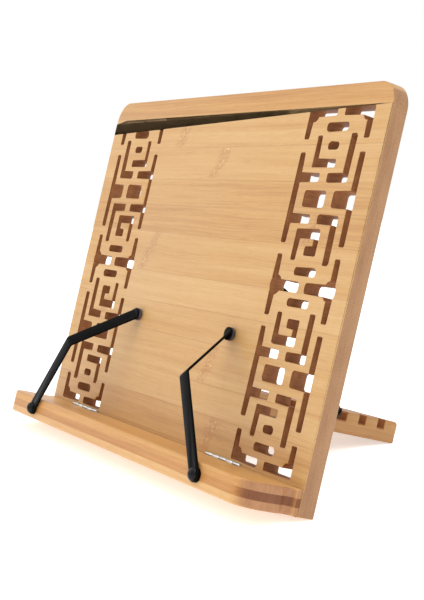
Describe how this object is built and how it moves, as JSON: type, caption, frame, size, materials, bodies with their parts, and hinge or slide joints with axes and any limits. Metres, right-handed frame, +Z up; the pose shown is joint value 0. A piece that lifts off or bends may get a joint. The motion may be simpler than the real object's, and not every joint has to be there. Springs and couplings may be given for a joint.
{
  "type": "quran stand",
  "caption": "Folding laminated bamboo stand for a Quran or other book: pierced leaning board, hinged ledge, two steel page holders, grooved rear leg and wire bail.",
  "frame": {"origin": "on the table under the middle of the whole stand's outline", "axes": "+X to the reader's right along the board, +Y from the reader towards the back leg, +Z up"},
  "size_m": [0.34, 0.2116, 0.2345],
  "materials": {
    "board_bamboo": "satin lacquer over pale laminated bamboo",
    "rail_bamboo": "satin lacquer, a little darker than the board",
    "ledge_bamboo": "satin lacquer over warm laminated bamboo",
    "core_bamboo": "satin lacquer over darker caramelised bamboo",
    "hinge_steel": "bright nickel plate",
    "black_strip": "black satin enamel",
    "black_screw": "black gloss enamel",
    "black_wire": "black satin enamel",
    "collar_plastic": "plain black",
    "pad_rubber": "matt grey black"
  },
  "bodies": {
    "board_body": {"board": "board_bamboo", "top_rail": "rail_bamboo", "ledge_top_ply": "ledge_bamboo", "ledge_core_ply": "core_bamboo", "ledge_bottom_ply": "ledge_bamboo", "ledge_hinge_board_leaves": "hinge_steel", "ledge_hinge_ledge_leaves": "hinge_steel", "ledge_hinge_pins": "hinge_steel", "ledge_hinge_board_screws": "hinge_steel", "ledge_hinge_ledge_screws": "hinge_steel", "left_holder_screw": "black_screw", "right_holder_screw": "black_screw", "left_holder_washer": "hinge_steel", "right_holder_washer": "hinge_steel", "leg_hinge_board_leaf": "hinge_steel", "leg_hinge_pin": "hinge_steel", "leg_hinge_board_screws": "hinge_steel", "bail_brackets": "black_strip", "bail_bracket_screws": "hinge_steel"},
    "left_holder_body": {"left_holder": "black_strip", "left_holder_pad": "pad_rubber"},
    "right_holder_body": {"right_holder": "black_strip", "right_holder_pad": "pad_rubber"},
    "leg_body": {"leg_plate": "board_bamboo", "leg_rack": "ledge_bamboo", "leg_hinge_leg_leaf": "hinge_steel", "leg_hinge_leg_screws": "hinge_steel"},
    "bail_body": {"bail": "black_wire", "bail_collars": "collar_plastic"}
  },
  "joints": [
    {"name": "left_holder_swivel", "type": "hinge", "parent": "board_body", "child": "left_holder_body", "pos_m": [-0.1185, -0.10199, 0.01976], "axis": [0, 0.9659, -0.2588], "range_deg": [-120, 40]},
    {"name": "right_holder_swivel", "type": "hinge", "parent": "board_body", "child": "right_holder_body", "pos_m": [0.1185, -0.10199, 0.01976], "axis": [0, -0.9659, 0.2588], "range_deg": [-120, 40]},
    {"name": "leg_fold", "type": "hinge", "parent": "board_body", "child": "leg_body", "pos_m": [0, -0.0413, 0.055], "axis": [1, 0, 0], "range_deg": [0, 90]},
    {"name": "bail_fold", "type": "hinge", "parent": "board_body", "child": "bail_body", "pos_m": [0, -0.0206, 0.11545], "axis": [1, 0, 0], "range_deg": [0, 125.1]}
  ],
  "couplings": [
    {"joint": "bail_fold", "follows": "leg_fold", "ratio": 1.39}
  ]
}
